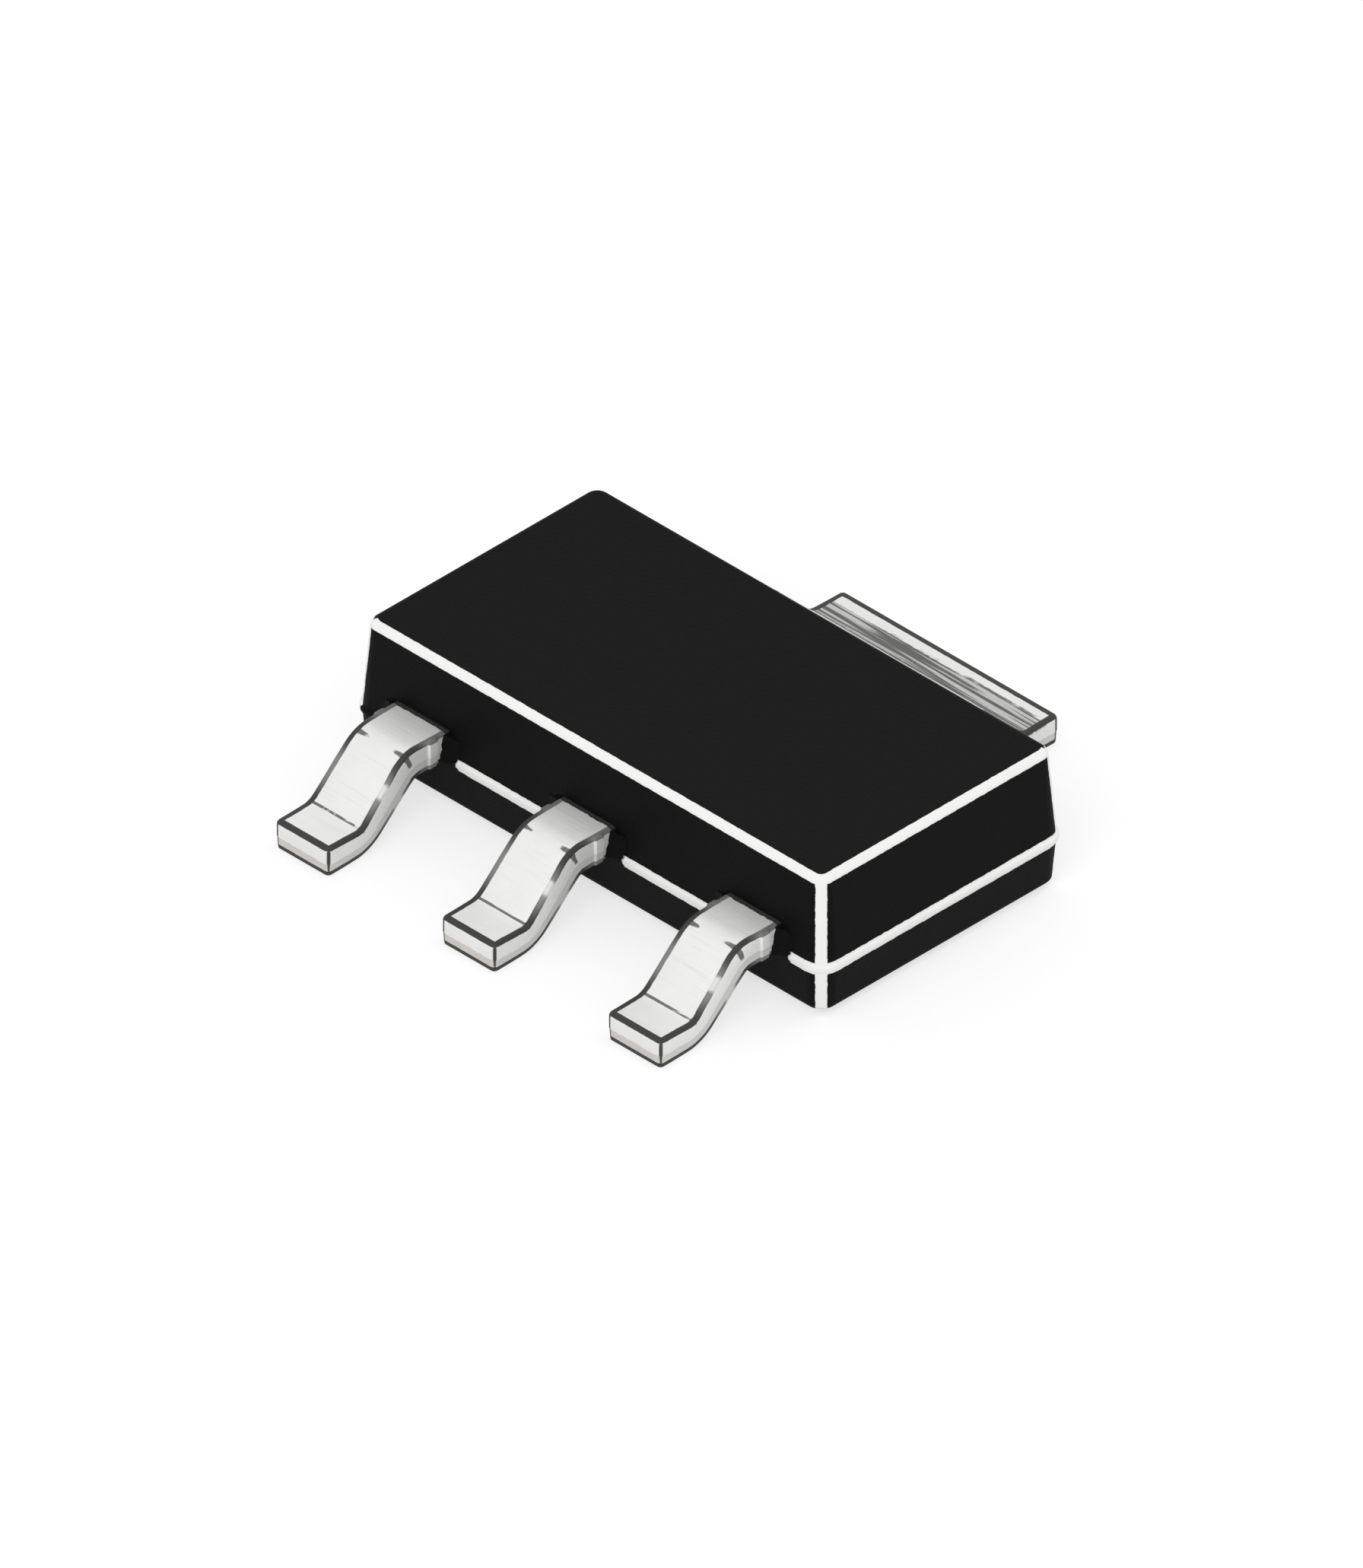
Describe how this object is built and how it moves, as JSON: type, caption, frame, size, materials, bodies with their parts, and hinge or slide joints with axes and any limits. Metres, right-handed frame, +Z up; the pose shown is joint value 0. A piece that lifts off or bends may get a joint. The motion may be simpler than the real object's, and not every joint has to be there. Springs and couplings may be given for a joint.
{
  "type": "ldo voltage regulator",
  "caption": "Low-dropout voltage regulator in a flat black moulded package, with gull-wing leads along one side and a wide solder tab on the other.",
  "frame": {"origin": "on the board, under the middle of the package: the feet stand on Z = 0", "axes": "+X along the row of leads, from the adjust lead to the input lead; -Y is the three-lead side and +Y the tab side; +Z up from the board"},
  "size_m": [0.0066, 0.0068, 0.0016],
  "materials": {
    "moulding_compound": "matte",
    "tinned_copper": "satin",
    "solder": "satin",
    "silicon": "satin",
    "aluminium_wire": "satin"
  },
  "bodies": {
    "root": {"moulded_body": "moulding_compound", "adjust_lead": "tinned_copper", "output_frame": "tinned_copper", "input_lead": "tinned_copper", "die_attach": "solder", "silicon_die": "silicon", "adjust_wire": "aluminium_wire", "input_wire_a": "aluminium_wire", "input_wire_b": "aluminium_wire", "output_wire_a": "aluminium_wire", "output_wire_b": "aluminium_wire"}
  },
  "joints": []
}
